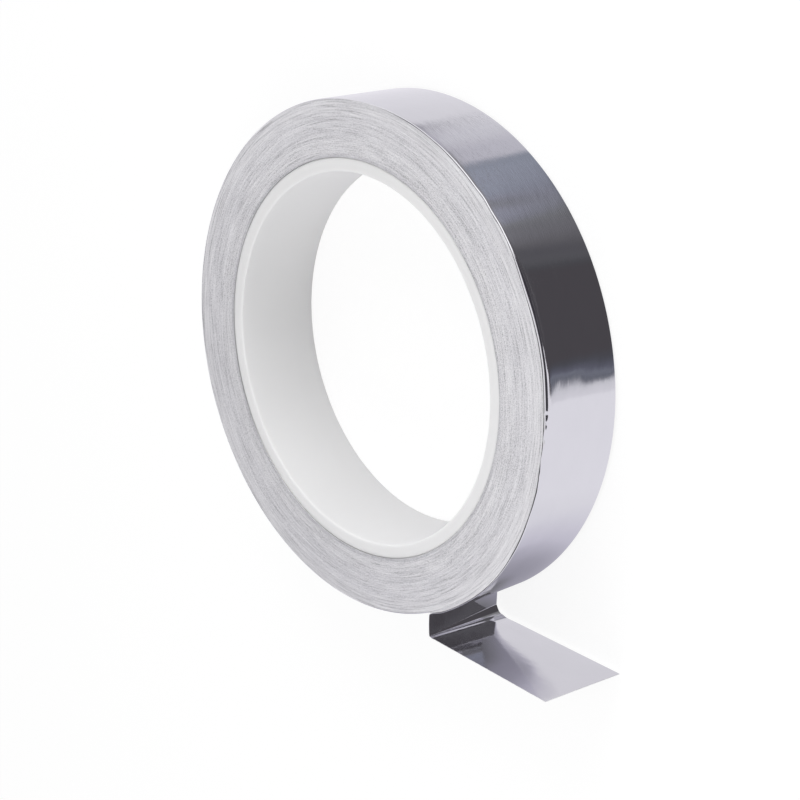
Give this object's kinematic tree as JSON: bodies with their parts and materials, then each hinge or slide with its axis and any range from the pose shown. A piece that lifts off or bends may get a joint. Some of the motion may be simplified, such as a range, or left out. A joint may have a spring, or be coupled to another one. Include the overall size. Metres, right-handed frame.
{
  "type": "roll of foil tape",
  "caption": "Roll of adhesive aluminium foil tape wound on a white plastic core, with its free end peeled off and folded out.",
  "frame": {"origin": "centre of the core's bore, in the plane of the core's lower end", "axes": "+Z along the roll's axis, out of the end that the picture shows; +X along the flat run of the free tail; +Y from the tail towards the roll's top in the picture"},
  "size_m": [0.112, 0.105, 0.0196],
  "materials": {
    "core_plastic": "satin white moulded plastic, slightly translucent",
    "foil": "bright rolled foil on the faces, fine matt lines on the wound edges"
  },
  "bodies": {
    "root": {"core": "core_plastic", "foil_tape": "foil"}
  },
  "joints": []
}
